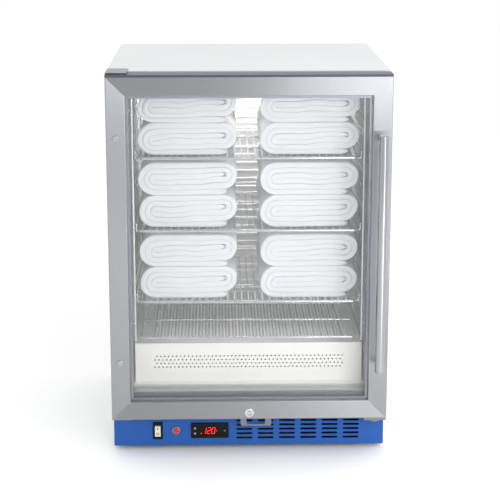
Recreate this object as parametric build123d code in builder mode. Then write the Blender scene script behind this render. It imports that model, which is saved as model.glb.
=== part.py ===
from build123d import *
import os

# Hot towel cabinet: a free-standing warming cabinet with a glazed door.
# Millimetres, +Z up, +X to the right, and the door faces -Y.
# The origin is on the floor, below the middle of the whole cabinet.

os.makedirs("parts", exist_ok=True)

# Overall sizes
width = 600.0
height = 850.0
body_depth = 520.0
door_thickness = 50.0
door_gap = 8.0  # from the door's back to the casing's front
handle_reach = 47.0  # from the door's front to the front of the handle
foot_height = 10.0
kick_height = 81.0  # from the casing's underside to the door
machine_space = 143.0  # from the casing's underside to the compartment's floor

# Walls and sheets
side_wall = 44.0
top_wall = 41.5
rear_wall = 45.0
casing_sheet = 1.5
liner_sheet = 1.0
fit = 0.2  # between pieces of one body that are only set beside each other
moving_fit = 0.3  # between pieces that move past each other
running_fit = 0.07  # radial, between a shaft and its bore

# Hinges
hinge_pin_diameter = 8.0
hinge_pin_inset = 11.5  # from the door's edge to the pin's axis
hinge_pin_length = 18.0
hinge_cap_diameter = 11.5
hinge_cap_rise = 0.5
top_plate_thickness = 2.0
bottom_plate_thickness = 4.5
plate_length = 45.0
plate_leg_height = 40.0
plate_leg_thickness = 3.0

# Levels and faces worked out from the sizes above
half_width = width / 2
total_depth = body_depth + door_gap + door_thickness + handle_reach
door_front = handle_reach - total_depth / 2
door_rear = door_front + door_thickness
body_front = door_rear + door_gap
body_rear = body_front + body_depth
casing_top = height - top_plate_thickness - hinge_cap_rise
liner_half = half_width - side_wall
liner_rear = body_rear - rear_wall
ceiling = casing_top - top_wall
floor = foot_height + machine_space
door_bottom = foot_height + kick_height
door_top = casing_top - 1.0
hinge_x = hinge_pin_inset - half_width
hinge_y = door_front + 0.51 * door_thickness

# Kick panel and what it carries
kick_sheet = 2.0
kick_lap = 9.0  # how far the panel goes up behind the door
kick_front = body_front - kick_sheet
kick_top = door_bottom + kick_lap
control_height = 35.0  # of the controls' middle, above the panel's lower edge
control_z = foot_height + control_height
switch_x = 97.0 - half_width
pilot_x = 138.0 - half_width
controller_x = 213.0 - half_width
slot_length = 35.5
slot_height = 5.0
slot_pitch_x = 47.5
slot_pitch_z = 10.1
slot_columns = 6
slot_rows = 5
slot_edge = 72.5  # from the cabinet's right side to the last column's middle
slot_middle_height = 36.8

# Door
rail_width = 41.5
member_wall = 1.5
bend_radius = 2.5
top_cap_height = 3.5
carrier_sheet = 1.5
carrier_side = 46.0  # from the door's edge to the carrier's inner edge
carrier_bottom = 57.0
glass_thickness = 4.0
glass_gap = 12.0
glass_setback = 6.0
spacer_width = 5.5
gasket_width = 14.0
gasket_side = 3.0  # from the liner's inner face to the gasket
gasket_below = 25.0  # from the compartment's floor down to the gasket
gasket_compressed = 0.5  # left between the gasket and the casing

# Handle
bar_diameter = 20.0
bar_end_gap = 119.0  # from the members' lower and upper edges to the bar's ends
post_inset = 11.2  # from the bar's end to the post's axis
post_diameter = 12.0
bar_inset = 22.0  # from the door's edge to the bar's axis
plug_diameter = 14.0
plug_rise = 2.0
plug_inset = 20.0

# Lock
lock_height = 14.4  # above the door's lower edge
lock_collar_diameter = 21.0
lock_collar_rise = 2.5
lock_body_diameter = 17.0
lock_plug_diameter = 13.0
lock_depth = 36.0  # of the lock's body behind the door's front
cam_length = 24.0
cam_width = 9.0
cam_thickness = 2.5
catch_x = 15.0
catch_width = 68.0
catch_drop = 28.0
catch_sheet = 2.0
catch_bar = 4.0

# Shelves
shelf_side_gap = 16.0  # from the liner to the shelf
shelf_depth = 406.0
shelf_front_setback = 9.0  # from the casing's front to the shelf's front rod
rod_diameter = 6.0
wire_diameter = 2.8
wire_pitch = 15.3
wire_bite = 0.6  # how deep a wire is welded into a rod
backstop_height = 25.0
weld_gap = 0.05  # left between the backstop's legs and the rear rod, so that they stay two solids
top_shelf_drop = 148.0  # from the ceiling
low_shelf_rise = 82.0  # above the floor grille
cover_height = 88.0
grille_rise = 15.0  # above the heater cover
rungs_per_shelf = 4

# Racks and shelf supports
rack_rod = 5.0
rung_rod = 4.0
rack_gap = 4.0  # from the liner to the rack's rods
rack_front_setback = 22.0
rack_depth = 375.0
rack_end_gap = 5.0
support_reach = 29.0
support_hook = 16.0

# Folded towels
towel_setback = 13.0  # behind the shelf's front rod
towel_depth = 340.0
towel_gap = 50.0  # between the left and the right stack
towel_edge = 2.0  # from the shelf's side to the stack
towel_round = 12.0
towel_headroom = 3.0
towel_join = 0.6


standing = (Align.CENTER, Align.CENTER, Align.MIN)  # a cylinder that starts at its place


def span(middle, size):
    """The (low, high) pair of a size set about its middle."""
    return middle - size / 2, middle + size / 2


def block(x, y, z, mode=Mode.ADD):
    """A box between two corners, given as a (low, high) pair along each axis."""
    with Locations(((x[0] + x[1]) / 2, (y[0] + y[1]) / 2, (z[0] + z[1]) / 2)):
        Box(x[1] - x[0], y[1] - y[0], z[1] - z[0], mode=mode)


def area(x, y, mode=Mode.ADD):
    """A rectangle in a sketch between two corners."""
    with Locations(((x[0] + x[1]) / 2, (y[0] + y[1]) / 2)):
        Rectangle(x[1] - x[0], y[1] - y[0], mode=mode)


def facing(y):
    """The upright plane at y whose sketches read as seen from the front."""
    return Plane.XZ.offset(-y)


def rod(points, diameter, radius, close=False):
    """A round rod along straight runs joined by arcs."""
    with BuildPart() as piece:
        with BuildLine() as route:
            FilletPolyline(*points, radius=radius, close=close)
        with BuildSketch(Plane(route.line @ 0, z_dir=route.line % 0)):
            Circle(diameter / 2)
        sweep(path=route.line)
    return piece.part


def finish(part, name):
    """Labels a finished piece and writes its STEP file."""
    part.label = name
    export_step(part, f"parts/{name}.step")


# ---------------------------------------------------------------- casing

inner_half = half_width - casing_sheet - fit
return_edge = liner_half + liner_sheet + fit
back_return = 18.0
side_top = casing_top - casing_sheet

with BuildPart() as side_panels:
    with BuildSketch(Plane.XY.offset(foot_height)):
        area((half_width - casing_sheet, half_width), (body_front, body_rear))
        area((return_edge, half_width), (body_front, body_front + casing_sheet))
        area((half_width - back_return, half_width), (body_rear - casing_sheet, body_rear))
        mirror(about=Plane.YZ)
    extrude(amount=side_top - foot_height)
finish(side_panels.part, "side_panels")

with BuildPart() as top_panel:
    block((-half_width, half_width), (body_front, body_rear), (side_top, casing_top))
    block(
        (fit - return_edge, return_edge - fit),
        (body_front, body_front + casing_sheet),
        (ceiling + liner_sheet + fit, side_top),
    )
    fillet(top_panel.edges().filter_by(Axis.Z).group_by(SortBy.LENGTH)[0], casing_sheet * 0.6)
finish(top_panel.part, "top_panel")

back_face = body_rear - casing_sheet
bushing_x = half_width - 100.0
bushing_z = foot_height + 35.0
bushing_hole = 16.0
louvre_rows = 5
louvre_size = (120.0, 4.0)
louvre_pitch = 11.0

with BuildPart() as back_panel:
    with BuildSketch(facing(back_face)):
        area((-inner_half, inner_half), (foot_height + casing_sheet + fit, side_top - fit))
        with Locations((bushing_x, bushing_z)):
            Circle(bushing_hole / 2, mode=Mode.SUBTRACT)
        with Locations((-half_width / 3, foot_height + 60.0)):
            with GridLocations(0, louvre_pitch, 1, louvre_rows):
                SlotOverall(*louvre_size, mode=Mode.SUBTRACT)
    extrude(amount=casing_sheet)
finish(back_panel.part, "back_panel")

# A flat strain-relief bushing, closed by its membrane until a cord goes in
with BuildPart() as cord_bushing:
    with BuildSketch(facing(back_face)):
        with Locations((bushing_x, bushing_z)):
            Circle(bushing_hole / 2 - fit)
    extrude(amount=14.0)
    with BuildSketch(facing(body_rear)):
        with Locations((bushing_x, bushing_z)):
            RectangleRounded(24.0, 22.0, 6.0)
    extrude(amount=casing_sheet)
finish(cord_bushing.part, "cord_bushing")

screw_head = (7.0, 1.2)
screw_x = half_width - back_return - 10.0
screw_rows = 4
with BuildPart() as body_screws:
    with BuildSketch(facing(back_face + screw_head[1])):
        with Locations((0, (foot_height + side_top) / 2)):
            screw_pitch = (side_top - foot_height - 90.0) / (screw_rows - 1)
            with GridLocations(2 * screw_x, screw_pitch, 2, screw_rows):
                Circle(screw_head[0] / 2)
    extrude(amount=screw_head[1])
finish(body_screws.part, "body_screws")

foot_inset = 45.0
foot_x = half_width - foot_inset
foot_y = (body_front + foot_inset, body_rear - foot_inset)
stud_diameter = 8.0
stud_length = 26.0
pad_diameter = 36.0
pad_height = 7.0
pan_front = body_front + casing_sheet + fit
pan_rear = back_face - casing_sheet - fit
pan_flange = 20.0

with BuildPart() as base_pan:
    block((-inner_half, inner_half), (pan_front, pan_rear), (foot_height, foot_height + casing_sheet))
    for side in (-1, 1):
        edge = sorted((side * inner_half, side * (inner_half - casing_sheet)))
        block(edge, (pan_front, pan_rear), (foot_height, foot_height + pan_flange))
    block(
        (-inner_half, inner_half),
        (pan_rear - casing_sheet, pan_rear),
        (foot_height, foot_height + pan_flange),
    )
    with Locations((0, sum(foot_y) / 2, foot_height)):
        with GridLocations(2 * foot_x, foot_y[1] - foot_y[0], 2, 2):
            Cylinder(stud_diameter / 2 + running_fit, 4 * casing_sheet, mode=Mode.SUBTRACT)
finish(base_pan.part, "base_pan")

for foot_name, place in {
    "foot_front_left": (-foot_x, foot_y[0]),
    "foot_front_right": (foot_x, foot_y[0]),
    "foot_rear_left": (-foot_x, foot_y[1]),
    "foot_rear_right": (foot_x, foot_y[1]),
}.items():
    with BuildPart() as foot:
        with Locations((*place, 0)):
            Cylinder(pad_diameter / 2, pad_height, align=standing)
        fillet(foot.edges().sort_by(Axis.Z)[-1], 2.0)
        with BuildSketch(Plane.XY.offset(pad_height)):
            with Locations(place):
                RegularPolygon(7.5, 6)
        extrude(amount=foot_height - pad_height - moving_fit)
        with BuildSketch(Plane.XY.offset(pad_height)):
            with Locations(place):
                Circle(stud_diameter / 2)
        extrude(amount=stud_length)
    finish(foot.part, foot_name)

# ---------------------------------------------------------------- liner

liner_flange = 18.0
with BuildPart() as liner_sides:
    with BuildSketch(Plane.XY.offset(floor)):
        area((liner_half, liner_half + liner_sheet), (body_front, liner_rear))
        area(
            (liner_half, liner_half + liner_flange),
            (body_front + casing_sheet, body_front + casing_sheet + liner_sheet),
        )
        mirror(about=Plane.YZ)
    extrude(amount=ceiling - floor)
finish(liner_sides.part, "liner_sides")

lamp_size = (200.0, 50.0)
lamp_y = body_front + 85.0
lamp_height = 25.0
lens_drop = 1.5
liner_outer = liner_half + liner_sheet

with BuildPart() as liner_top:
    block((-liner_outer, liner_outer), (body_front, liner_rear), (ceiling, ceiling + liner_sheet))
    block(span(0, lamp_size[0]), span(lamp_y, lamp_size[1]), span(ceiling, 10.0), Mode.SUBTRACT)
finish(liner_top.part, "liner_top")

with BuildPart() as lamp_housing:
    block(
        span(0, lamp_size[0] + 10.0),
        span(lamp_y, lamp_size[1] + 10.0),
        (ceiling + liner_sheet, ceiling + liner_sheet + lamp_height),
    )
    offset(amount=-liner_sheet, openings=lamp_housing.faces().sort_by(Axis.Z)[0])
finish(lamp_housing.part, "lamp_housing")

with BuildPart() as lamp_lens:
    block(
        span(0, lamp_size[0] - 2 * fit),
        span(lamp_y, lamp_size[1] - 2 * fit),
        (ceiling - lens_drop, ceiling + liner_sheet),
    )
    fillet(lamp_lens.edges().group_by(Axis.Z)[0], 1.0)
finish(lamp_lens.part, "lamp_lens")

sill_lap = 5.0
with BuildPart() as liner_floor:
    block((-liner_outer, liner_outer), (body_front, liner_rear), (floor - liner_sheet, floor))
    block(
        (-liner_outer, liner_outer),
        (body_front, body_front + casing_sheet),
        (kick_top - sill_lap, floor - liner_sheet),
    )
finish(liner_floor.part, "liner_floor")

groove_pitch = 20.0
groove_depth = 1.5
groove_width = 8.0
groove_count = int((ceiling - floor - groove_pitch) // groove_pitch)
with BuildPart() as liner_back:
    block(
        (-liner_outer, liner_outer),
        (liner_rear, liner_rear + liner_sheet),
        (floor - liner_sheet, ceiling + liner_sheet),
    )
    with BuildSketch(Plane.YZ.offset(-liner_half)):
        with Locations((liner_rear, (floor + ceiling) / 2)):
            with GridLocations(0, groove_pitch, 1, groove_count):
                Trapezoid(
                    groove_width,
                    groove_depth,
                    50,
                    rotation=90,
                    align=(Align.CENTER, Align.MIN),
                )
    extrude(amount=2 * liner_half)
finish(liner_back.part, "liner_back")

slab_bottom = 20.0
with BuildPart() as insulation:
    slab_y = (body_front + casing_sheet + liner_sheet + fit, liner_rear)
    slab_z = (ceiling + liner_sheet + fit, side_top - fit)
    block((-liner_outer, liner_outer), slab_y, slab_z)
    block(
        span(0, lamp_size[0] + 10.0 + 2 * fit),
        span(lamp_y, lamp_size[1] + 10.0 + 2 * fit),
        (slab_z[0], slab_z[0] + lamp_height + 2 * fit),
        Mode.SUBTRACT,
    )
    slab_top = floor - liner_sheet
    block((-liner_outer, liner_outer), slab_y, (slab_top - slab_bottom, slab_top - fit))
    for side in (-1, 1):
        slab_x = sorted((side * (liner_outer + fit), side * inner_half))
        block(slab_x, slab_y, (floor - slab_bottom, slab_z[1]))
    block(
        (-inner_half, inner_half),
        (liner_rear + liner_sheet + fit, back_face - casing_sheet - fit),
        (floor - slab_bottom, slab_z[1]),
    )
finish(insulation.part, "insulation")

# ---------------------------------------------------------------- kick panel and controls

bezel_rise = 2.0
switch_bezel_size = (22.0, 40.5)
switch_body_size = (19.0, 36.5)
switch_window = (13.0, 28.4)
switch_body_depth = 24.0
controller_size = (83.6, 35.0)
controller_body_size = (76.0, 29.0)
controller_rise = 4.0
controller_body_depth = 50.0
pilot_ring_diameter = 19.0
pilot_lens_diameter = 13.0
pilot_ring_rise = 2.5
pilot_hole = 15.0

with BuildPart() as kick_panel:
    with BuildSketch(facing(body_front)):
        area((-half_width, half_width), (foot_height, kick_top))
        with Locations((switch_x, control_z)):
            Rectangle(*(size + 2 * fit for size in switch_body_size), mode=Mode.SUBTRACT)
        with Locations((pilot_x, control_z)):
            Circle(pilot_hole / 2, mode=Mode.SUBTRACT)
        with Locations((controller_x, control_z)):
            Rectangle(*(size + 2 * fit for size in controller_body_size), mode=Mode.SUBTRACT)
        slot_middle = half_width - slot_edge - slot_pitch_x * (slot_columns - 1) / 2
        with Locations((slot_middle, foot_height + slot_middle_height)):
            with GridLocations(slot_pitch_x, slot_pitch_z, slot_columns, slot_rows):
                SlotOverall(slot_length, slot_height, mode=Mode.SUBTRACT)
    extrude(amount=kick_sheet)
finish(kick_panel.part, "kick_panel")

with BuildPart() as switch_bezel:
    with BuildSketch(facing(kick_front)):
        with Locations((switch_x, control_z)):
            RectangleRounded(*switch_bezel_size, 2.0)
    extrude(amount=bezel_rise)
    chamfer(switch_bezel.edges().group_by(Axis.Y)[0], 0.6)
    with BuildSketch(facing(kick_front)):
        with Locations((switch_x, control_z)):
            Rectangle(*switch_body_size)
    extrude(amount=-switch_body_depth)
    with BuildSketch(facing(kick_front - bezel_rise)):
        with Locations((switch_x, control_z)):
            Rectangle(*switch_window)
    extrude(amount=-(bezel_rise + 17.0), mode=Mode.SUBTRACT)
finish(switch_bezel.part, "switch_bezel")

# The rocker turns on an axis behind the bezel. Its front is two flats that meet
# in a shallow valley, and it rests with its lower flat pressed in.
rocker_pivot_y = kick_front + 4.0
rocker_half_angle = 8.0
rocker_half_height = 12.6
rocker_front = 6.5  # from the axis to the valley
rocker_lift = 1.8  # how much further out the flats' outer ends stand
rocker_rear = 5.0
with BuildPart() as switch_rocker:
    rocker_plane = Plane(
        origin=(switch_x - switch_window[0] / 2 + moving_fit, rocker_pivot_y, control_z),
        x_dir=Vector(0, 1, 0).rotate(Axis.X, rocker_half_angle),
        z_dir=(1, 0, 0),
    )
    with BuildSketch(rocker_plane):
        with BuildLine():
            Polyline(
                (rocker_rear, -rocker_half_height * 0.55),
                (0, -rocker_half_height * 0.9),
                (-rocker_front - rocker_lift, -rocker_half_height),
                (-rocker_front, 0),
                (-rocker_front - rocker_lift, rocker_half_height),
                (0, rocker_half_height * 0.9),
                (rocker_rear, rocker_half_height * 0.55),
                close=True,
            )
        make_face()
    extrude(amount=switch_window[0] - 2 * moving_fit)
    fillet(switch_rocker.edges().filter_by(Axis.X).group_by(Axis.Y)[0], 1.0)
finish(switch_rocker.part, "switch_rocker")

with BuildPart() as pilot_lamp_bezel:
    with BuildSketch(facing(kick_front)):
        with Locations((pilot_x, control_z)):
            Circle(pilot_ring_diameter / 2)
    extrude(amount=pilot_ring_rise)
    fillet(pilot_lamp_bezel.edges().sort_by(Axis.Y)[0], 1.5)
    with BuildSketch(facing(kick_front)):
        with Locations((pilot_x, control_z)):
            Circle(pilot_hole / 2 - fit)
    extrude(amount=-20.0)
    with BuildSketch(facing(kick_front - pilot_ring_rise)):
        with Locations((pilot_x, control_z)):
            Circle(pilot_lens_diameter / 2)
    extrude(amount=-10.0, mode=Mode.SUBTRACT)
finish(pilot_lamp_bezel.part, "pilot_lamp_bezel")

with BuildPart() as pilot_lamp_lens:
    with BuildSketch(facing(kick_front - pilot_ring_rise + 10.0)):
        with Locations((pilot_x, control_z)):
            Circle(pilot_lens_diameter / 2 - fit)
    extrude(amount=11.5)
    fillet(pilot_lamp_lens.edges().sort_by(Axis.Y)[0], 2.0)
finish(pilot_lamp_lens.part, "pilot_lamp_lens")

key_size = 6.2
key_pocket = key_size + 2 * moving_fit
key_height = 3.0
key_travel = 0.8
key_proud = 1.0  # how far a key stands out of the case
key_pocket_depth = key_height - key_proud + key_travel + moving_fit
controller_front = kick_front - controller_rise
window_size = (46.0, 21.0)
window_thickness = 1.2
key_places = {
    "key_up": (controller_x - 33.0, control_z + 6.5),
    "key_down": (controller_x - 33.0, control_z - 6.5),
    "key_set": (controller_x + 33.0, control_z),
}

with BuildPart() as controller_case:
    with BuildSketch(facing(kick_front)):
        with Locations((controller_x, control_z)):
            RectangleRounded(*controller_size, 3.0)
    extrude(amount=controller_rise)
    fillet(controller_case.edges().group_by(Axis.Y)[0], 1.0)
    with BuildSketch(facing(kick_front)):
        with Locations((controller_x, control_z)):
            Rectangle(*controller_body_size)
    extrude(amount=-controller_body_depth)
    with BuildSketch(facing(controller_front)):
        with Locations((controller_x, control_z)):
            Rectangle(*(size + 2 * fit for size in window_size))
    extrude(amount=-window_thickness, mode=Mode.SUBTRACT)
    with BuildSketch(facing(controller_front)):
        with Locations(*key_places.values()):
            Rectangle(key_pocket, key_pocket)
    extrude(amount=-key_pocket_depth, mode=Mode.SUBTRACT)
finish(controller_case.part, "controller_case")

with BuildPart() as controller_window:
    with BuildSketch(facing(controller_front + window_thickness)):
        with Locations((controller_x, control_z)):
            Rectangle(*window_size)
    extrude(amount=window_thickness)
finish(controller_window.part, "controller_window")

for key_name, place in key_places.items():
    with BuildPart() as key:
        with BuildSketch(facing(controller_front + key_height - key_proud)):
            with Locations(place):
                RectangleRounded(key_size, key_size, 1.0)
        extrude(amount=key_height)
        fillet(key.edges().group_by(Axis.Y)[0], 0.6)
    finish(key.part, key_name)

# ---------------------------------------------------------------- heater

cover_half = liner_half - 5.0
cover_front = body_front + 19.5
cover_sheet = 1.2
cover_top = floor + cover_height
cover_rear = liner_rear - groove_depth - fit
cover_hole = 3.7
cover_hole_pitch = 8.75
cover_hole_row = 8.4
cover_hole_rows = 4
cover_hole_columns = int((2 * cover_half - 80.0) // cover_hole_pitch)
cover_hole_middle = 45.5  # above the floor

with BuildPart() as heater_cover:
    with BuildSketch(Plane.XZ.offset(-cover_rear)):
        area((-cover_half, cover_half), (floor, cover_top))
        area(
            (cover_sheet - cover_half, cover_half - cover_sheet),
            (floor, cover_top - cover_sheet),
            Mode.SUBTRACT,
        )
    extrude(amount=cover_rear - cover_front)
    block(
        (-cover_half, cover_half), (cover_front, cover_front + cover_sheet), (floor, cover_top)
    )
    fillet(heater_cover.edges().filter_by(Axis.X).sort_by(Axis.Y).sort_by(Axis.Z)[-2], cover_sheet)
    with BuildSketch(facing(cover_front + cover_sheet)):
        for row in range(cover_hole_rows):
            level = cover_hole_middle + (row - (cover_hole_rows - 1) / 2) * cover_hole_row
            stagger = (row % 2 - 0.5) * cover_hole_pitch / 2
            with Locations((stagger, floor + level)):
                with GridLocations(cover_hole_pitch, 0, cover_hole_columns, 1):
                    Circle(cover_hole / 2)
    extrude(amount=2 * cover_sheet, mode=Mode.SUBTRACT)
finish(heater_cover.part, "heater_cover")

fan_y = (cover_front + cover_rear) / 2 + 10.0
motor_diameter = 64.0
motor_height = 26.0
shaft_diameter = 6.0
hub_diameter = 26.0
hub_height = 14.0
blade_reach = 62.0
blade_count = 5
hub_z = floor + motor_height + 6.0

with BuildPart() as fan_motor:
    with Locations((0, fan_y, floor)):
        Cylinder(motor_diameter / 2, motor_height, align=standing)
    fillet(fan_motor.edges().sort_by(Axis.Z)[-1], 3.0)
    with Locations((0, fan_y, floor)):
        Box(110.0, 22.0, 3.0, align=standing)
    with Locations((0, fan_y, floor + 6.0)):
        Cylinder(
            shaft_diameter / 2 + running_fit,
            motor_height,
            align=standing,
            mode=Mode.SUBTRACT,
        )
finish(fan_motor.part, "fan_motor")

with BuildPart() as fan_blade:
    with Locations((0, fan_y, floor + 8.0)):
        Cylinder(
            shaft_diameter / 2,
            hub_z + hub_height - floor - 8.0,
            align=standing,
        )
    with Locations((0, fan_y, hub_z)):
        Cylinder(hub_diameter / 2, hub_height, align=standing)
    with Locations((0, fan_y, hub_z + hub_height / 2)):
        with PolarLocations(hub_diameter / 2 - 2.0, blade_count):
            Box(
                blade_reach - hub_diameter / 2 + 2.0,
                28.0,
                1.5,
                rotation=(24, 0, 0),
                align=(Align.MIN, Align.CENTER, Align.CENTER),
            )
finish(fan_blade.part, "fan_blade")

element_rod = 8.0
element_z = floor + 28.0
element_x = cover_half - 65.0
element_y = (cover_front + 50.0, cover_rear - 30.0)
element_turn = 30.0
with BuildPart() as heating_element:
    element_route = [
        (-40.0, element_y[1], element_z),
        (-element_x, element_y[1], element_z),
        (-element_x, element_y[0], element_z),
        (element_x, element_y[0], element_z),
        (element_x, element_y[1], element_z),
        (40.0, element_y[1], element_z),
    ]
    add(rod(element_route, element_rod, element_turn))
    with Locations((0, sum(element_y) / 2, floor)):
        with GridLocations(element_x, element_y[1] - element_y[0], 2, 2):
            Cylinder(3.0, element_z - floor, align=standing)
finish(heating_element.part, "heating_element")

# ---------------------------------------------------------------- shelves and racks

shelf_half = liner_half - shelf_side_gap
shelf_front = body_front + shelf_front_setback
shelf_rear = shelf_front + shelf_depth
rod_half = rod_diameter / 2
wire_count = int((2 * shelf_half - 3 * rod_diameter) // (2 * wire_pitch)) * 2 - 1
wire_rise = rod_half + wire_diameter / 2 - wire_bite
grille_z = cover_top + grille_rise
low_shelf_z = grille_z + low_shelf_rise
top_shelf_z = ceiling - top_shelf_drop
shelf_pitch = (top_shelf_z - low_shelf_z) / 2
shelf_levels = {
    "lower": low_shelf_z,
    "middle": low_shelf_z + shelf_pitch,
    "top": top_shelf_z,
}


shelf_middle = (shelf_front + shelf_rear) / 2
grid_x, grid_front, grid_rear = shelf_half - rod_half, shelf_front + rod_half, shelf_rear - rod_half
grid_corner = 10.0

# The welded grid of every shelf: a rod round its edge, with cross rods and wires on them
with BuildPart() as wire_grid:
    edge_route = [(grid_x, grid_front), (grid_x, grid_rear), (-grid_x, grid_rear), (-grid_x, grid_front)]
    add(rod([(*place, 0) for place in edge_route], rod_diameter, grid_corner, close=True))
    with Locations((0, shelf_middle, 0)):
        with GridLocations(0, shelf_depth / 3, 1, 2):
            Cylinder(rod_half, 2 * grid_x, rotation=(0, 90, 0))
    with Locations((0, shelf_middle, wire_rise)):
        with GridLocations(wire_pitch, 0, wire_count, 1):
            Cylinder(wire_diameter / 2, shelf_depth - rod_diameter, rotation=(90, 0, 0))

stop_x = (wire_count / 2 - 1) * wire_pitch  # halfway between two wires
stop_y = shelf_rear - rod_half
with BuildPart() as backstop:
    stop_route = [
        (-stop_x, stop_y, rod_half + weld_gap),
        (-stop_x, stop_y, backstop_height),
        (stop_x, stop_y, backstop_height),
        (stop_x, stop_y, rod_half + weld_gap),
    ]
    add(rod(stop_route, rack_rod, 8.0))

for shelf_name, level in shelf_levels.items():
    with BuildPart() as shelf:
        with Locations((0, 0, level)):
            add(wire_grid.part)
            add(backstop.part)
    finish(shelf.part, f"shelf_{shelf_name}")

with BuildPart() as floor_grille:
    with Locations((0, 0, grille_z)):
        add(wire_grid.part)
    with Locations((0, shelf_middle, cover_top)):
        with GridLocations(2 * (shelf_half - 6 * rod_diameter), shelf_depth / 3, 2, 2):
            Cylinder(rod_half, grille_rise, align=standing)
finish(floor_grille.part, "floor_grille")

support_z = {name: level - rod_half - rung_rod / 2 - moving_fit for name, level in shelf_levels.items()}
rung_pitch = shelf_pitch / rungs_per_shelf
rung_top = support_z["top"] + support_hook - rung_rod
rack_x = liner_half - rack_gap - rack_rod / 2
rack_y = (body_front + rack_front_setback, body_front + rack_front_setback + rack_depth)
rack_z = (cover_top + rack_end_gap, ceiling - rack_end_gap)
rungs_above = int((rack_z[1] - rung_rod - rung_top) // rung_pitch)
rungs_below = int((rung_top - rack_z[0] - rung_rod) // rung_pitch)

with BuildPart() as side_racks:
    for side in (-1, 1):
        with Locations((side * rack_x, sum(rack_y) / 2, rack_z[0])):
            with GridLocations(0, rack_depth, 1, 2):
                Cylinder(
                    rack_rod / 2,
                    rack_z[1] - rack_z[0],
                    align=standing,
                )
        for step in range(-rungs_below, rungs_above + 1):
            with Locations((side * rack_x, sum(rack_y) / 2, rung_top + step * rung_pitch)):
                Cylinder(rung_rod / 2, rack_depth, rotation=(90, 0, 0))
        for stud_z in (rack_z[0] + 40.0, rack_z[1] - 40.0):
            for stud_y in rack_y:
                stud_x = sorted((side * rack_x, side * liner_half))
                with Locations((sum(stud_x) / 2, stud_y, stud_z)):
                    Cylinder(3.5, stud_x[1] - stud_x[0], rotation=(0, 90, 0))
finish(side_racks.part, "side_racks")

# Each support hooks over a rung at its front and rear, and runs under a shelf's side.
support_x = rack_x - rung_rod - 1.0
support_y = (rack_y[0] + 14.0, rack_y[1] - 14.0)
with BuildPart() as shelf_supports:
    for level in support_z.values():
        for side in (-1, 1):
            outer, inner = side * support_x, side * (liner_half - support_reach)
            hook_end, hook_z = side * (rack_x + 1.0), level + support_hook
            route = [
                (hook_end, support_y[0], hook_z),
                (outer, support_y[0], hook_z),
                (outer, support_y[0], level),
                (inner, support_y[0], level),
                (inner, support_y[1], level),
                (outer, support_y[1], level),
                (outer, support_y[1], hook_z),
                (hook_end, support_y[1], hook_z),
            ]
            add(rod(route, rung_rod, 2.2))
finish(shelf_supports.part, "shelf_supports")

probe_y = rack_y[1] + 30.0
probe_length = 80.0
with BuildPart() as temperature_probe:
    with Locations((liner_half - 9.0, probe_y, ceiling - 80.0)):
        Cylinder(3.0, probe_length)
    block((liner_half - 9.0, liner_half), span(probe_y, 10.0), span(ceiling - 60.0, 12.0))
finish(temperature_probe.part, "temperature_probe")

# ---------------------------------------------------------------- towels

towel_front = shelf_front + rod_half + towel_setback
towel_outer = shelf_half - towel_edge
stack_width = towel_outer - towel_gap / 2
for shelf_name, level in shelf_levels.items():
    stack_low = level + wire_rise + wire_diameter / 2 + moving_fit
    above = ceiling if shelf_name == "top" else level + shelf_pitch - 2 * rod_diameter + towel_headroom
    towel_height = (above - towel_headroom - stack_low - towel_join) / 2
    with BuildPart() as towels:
        with BuildSketch(facing(towel_front + towel_depth)):
            middle = (towel_gap / 2 + towel_outer) / 2
            with Locations((0, stack_low + towel_height + towel_join / 2)):
                with GridLocations(2 * middle, towel_height + towel_join, 2, 2):
                    RectangleRounded(stack_width, towel_height, towel_round)
        extrude(amount=towel_depth)
    finish(towels.part, f"towels_{shelf_name}")

# ---------------------------------------------------------------- door

member_rear = door_rear - carrier_sheet
member_top = door_top - top_cap_height
pin_bore = hinge_pin_diameter / 2 + running_fit
outer_corners = [
    (-half_width, door_bottom),
    (half_width, door_bottom),
    (half_width, member_top),
    (-half_width, member_top),
]
inner_corners = [
    (rail_width - half_width, door_bottom + rail_width),
    (half_width - rail_width, door_bottom + rail_width),
    (half_width - rail_width, member_top - rail_width),
    (rail_width - half_width, member_top - rail_width),
]
lock_z = door_bottom + lock_height
cam_y = door_front + lock_depth + 1.0
cam_sweep = (-cam_width / 2 - 1.5, cam_length - 3.0)
bar_x = half_width - bar_inset
bar_y = door_front - handle_reach + bar_diameter / 2
bar_z = (door_bottom + bar_end_gap, member_top - bar_end_gap)
post_z = (bar_z[0] + post_inset, bar_z[1] - post_inset)


def hinge_bores(radius):
    """Cuts the two hinge pins' bores, from the door's top and bottom edges."""
    for end in (door_bottom, member_top):
        with Locations((hinge_x, hinge_y, end)):
            Cylinder(radius, 2 * (hinge_pin_length + 2.0), mode=Mode.SUBTRACT)


# Four folded sheet members, open at the back and mitred at the corners
for index, member_name in enumerate(
    ["door_rail_bottom", "door_stile_handle", "door_rail_top", "door_stile_hinge"]
):
    following = (index + 1) % 4
    along = Axis.X if index % 2 == 0 else Axis.Z
    with BuildPart() as member:
        with BuildSketch(facing(member_rear)):
            with BuildLine():
                Polyline(
                    outer_corners[index],
                    outer_corners[following],
                    inner_corners[following],
                    inner_corners[index],
                    close=True,
                )
            make_face()
        extrude(amount=member_rear - door_front)
        fillet(member.faces().sort_by(Axis.Y)[0].edges().filter_by(along), bend_radius)
        offset(amount=-member_wall, openings=member.faces().sort_by(Axis.Y)[-1])
        hinge_bores(pin_bore + fit)
        if member_name == "door_rail_bottom":
            with Locations((0, door_front, lock_z)):
                Cylinder(lock_body_diameter / 2 + fit, 20.0, rotation=(90, 0, 0), mode=Mode.SUBTRACT)
            cam_way = span(cam_y + cam_thickness / 2, cam_thickness + 2.0)
            block(cam_sweep, cam_way, span(door_bottom, 6.0), Mode.SUBTRACT)
    finish(member.part, member_name)

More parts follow.
